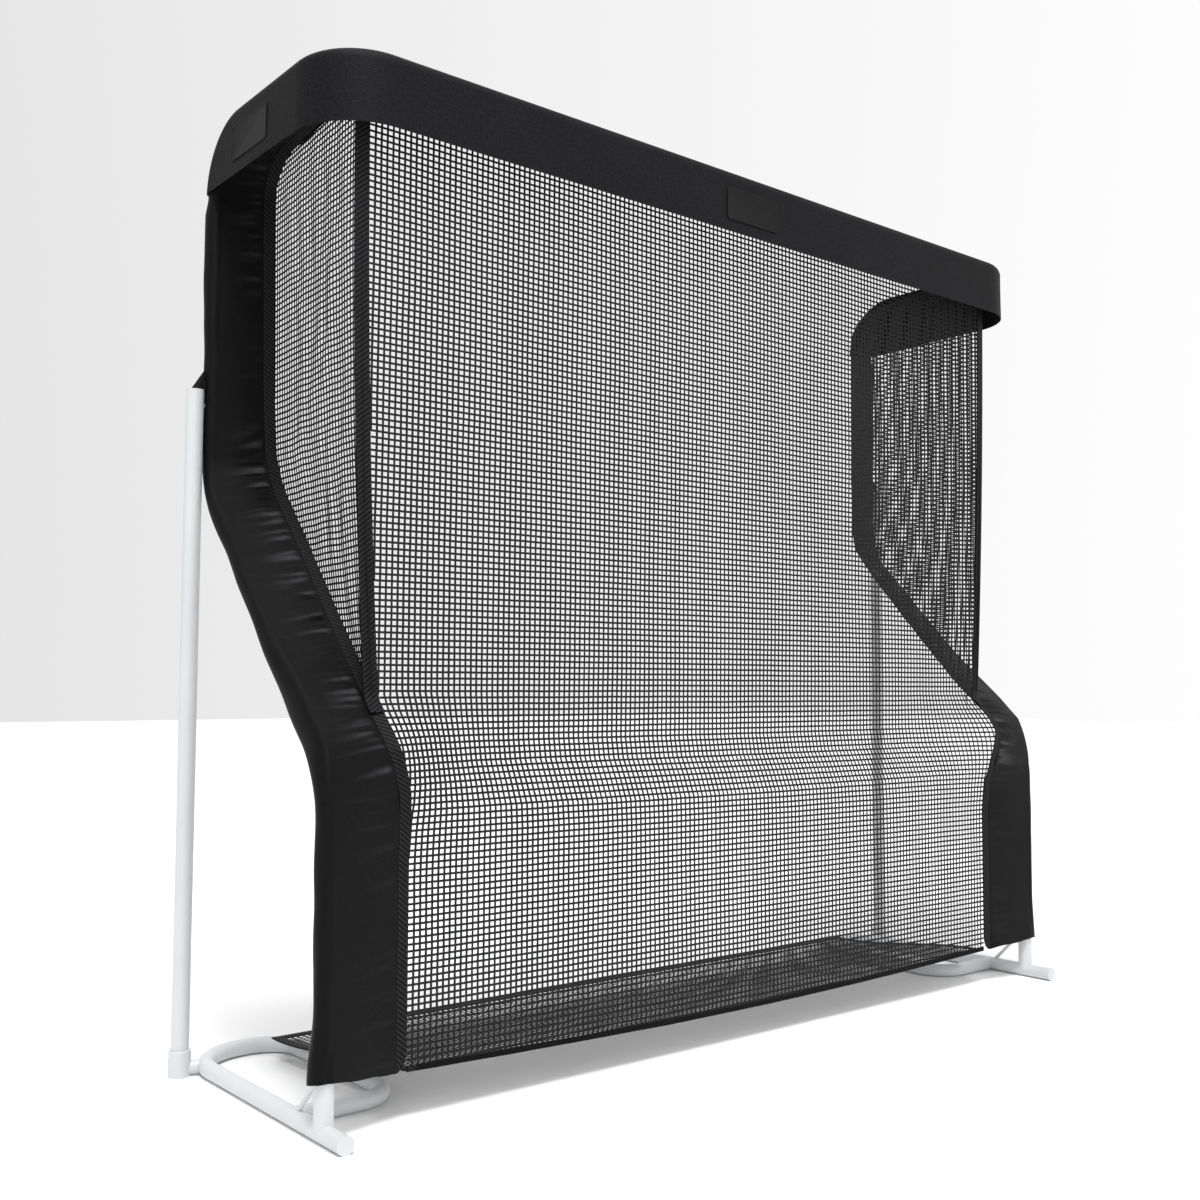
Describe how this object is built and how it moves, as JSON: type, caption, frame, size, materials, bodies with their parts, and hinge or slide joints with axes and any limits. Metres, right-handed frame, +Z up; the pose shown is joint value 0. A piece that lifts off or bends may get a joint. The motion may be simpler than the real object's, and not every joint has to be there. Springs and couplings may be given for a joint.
{
  "type": "golf practice net",
  "caption": "Free-standing golf practice net: white tube frame on floor loops, S-shaped uprights in black covers, deep top band, mesh back, sides and floor.",
  "frame": {"origin": "centre of the footprint on the floor", "axes": "+X across the net, +Y towards the open side that the golfer plays from, +Z up; the capped feet and the main net are at -Y"},
  "size_m": [2.544, 0.786, 2.228],
  "materials": {
    "white_tube": "satin powder coat",
    "steel": "zinc plated",
    "cover_cloth": "matt woven polyester",
    "webbing": "ribbed webbing",
    "net": "knotless square mesh",
    "patch": "matt moulded patch"
  },
  "bodies": {
    "frame": {"base_loop_left": "white_tube", "base_loop_right": "white_tube", "base_end_cap_left": "white_tube", "base_end_cap_right": "white_tube", "upright_stub_left": "white_tube", "upright_stub_right": "white_tube", "stay_rod_left": "white_tube", "stay_rod_right": "white_tube", "post_socket_left": "white_tube", "post_socket_right": "white_tube", "socket_link_left": "white_tube", "socket_link_right": "white_tube", "post_left": "white_tube", "post_right": "white_tube", "post_cap_left": "white_tube", "post_cap_right": "white_tube", "post_peg_left": "steel", "post_peg_right": "steel", "lower_upright_left": "white_tube", "lower_upright_right": "white_tube", "upper_upright_left": "white_tube", "upper_upright_right": "white_tube", "corner_tube_left": "white_tube", "corner_tube_right": "white_tube", "top_bar_left": "white_tube", "top_bar_right": "white_tube", "centre_coupler": "white_tube", "spring_clips": "steel", "upright_cover_left": "cover_cloth", "upright_cover_right": "cover_cloth", "cover_trim_left": "webbing", "cover_trim_right": "webbing", "corner_strip_left": "webbing", "corner_strip_right": "webbing", "post_flap_left": "cover_cloth", "post_flap_right": "cover_cloth", "top_band": "cover_cloth", "label_patches": "patch", "corner_gusset_left": "cover_cloth", "corner_gusset_right": "cover_cloth", "net_header": "webbing", "main_net": "net", "side_net_left": "net", "side_net_right": "net", "floor_net": "net", "floor_net_binding": "webbing"},
    "stub_button_left": {"stub_button_left": "steel"},
    "stub_button_right": {"stub_button_right": "steel"},
    "upright_button_left": {"upright_button_left": "steel"},
    "upright_button_right": {"upright_button_right": "steel"},
    "arm_button_left": {"arm_button_left": "steel"},
    "arm_button_right": {"arm_button_right": "steel"},
    "bar_button_left": {"bar_button_left": "steel"},
    "bar_button_right": {"bar_button_right": "steel"},
    "coupler_button_left": {"coupler_button_left": "steel"},
    "coupler_button_right": {"coupler_button_right": "steel"}
  },
  "joints": [
    {"name": "stub_button_left_press", "type": "slide", "parent": "frame", "child": "stub_button_left", "axis": [-1, 0, 0], "range_m": [0, 0.00615], "stiffness_N_per_m": 2500, "springref_m": -0.002},
    {"name": "stub_button_right_press", "type": "slide", "parent": "frame", "child": "stub_button_right", "axis": [1, 0, 0], "range_m": [0, 0.00615], "stiffness_N_per_m": 2500, "springref_m": -0.002},
    {"name": "upright_button_left_press", "type": "slide", "parent": "frame", "child": "upright_button_left", "axis": [-1, 0, 0], "range_m": [0, 0.00615], "stiffness_N_per_m": 2500, "springref_m": -0.002},
    {"name": "upright_button_right_press", "type": "slide", "parent": "frame", "child": "upright_button_right", "axis": [1, 0, 0], "range_m": [0, 0.00615], "stiffness_N_per_m": 2500, "springref_m": -0.002},
    {"name": "arm_button_left_press", "type": "slide", "parent": "frame", "child": "arm_button_left", "axis": [-1, 0, 0], "range_m": [0, 0.00615], "stiffness_N_per_m": 2500, "springref_m": -0.002},
    {"name": "arm_button_right_press", "type": "slide", "parent": "frame", "child": "arm_button_right", "axis": [1, 0, 0], "range_m": [0, 0.00615], "stiffness_N_per_m": 2500, "springref_m": -0.002},
    {"name": "bar_button_left_press", "type": "slide", "parent": "frame", "child": "bar_button_left", "axis": [0, 0, 1], "range_m": [0, 0.00615], "stiffness_N_per_m": 2500, "springref_m": -0.002},
    {"name": "bar_button_right_press", "type": "slide", "parent": "frame", "child": "bar_button_right", "axis": [0, 0, 1], "range_m": [0, 0.00615], "stiffness_N_per_m": 2500, "springref_m": -0.002},
    {"name": "coupler_button_left_press", "type": "slide", "parent": "frame", "child": "coupler_button_left", "axis": [0, 0, 1], "range_m": [0, 0.00615], "stiffness_N_per_m": 2500, "springref_m": -0.002},
    {"name": "coupler_button_right_press", "type": "slide", "parent": "frame", "child": "coupler_button_right", "axis": [0, 0, 1], "range_m": [0, 0.00615], "stiffness_N_per_m": 2500, "springref_m": -0.002}
  ]
}
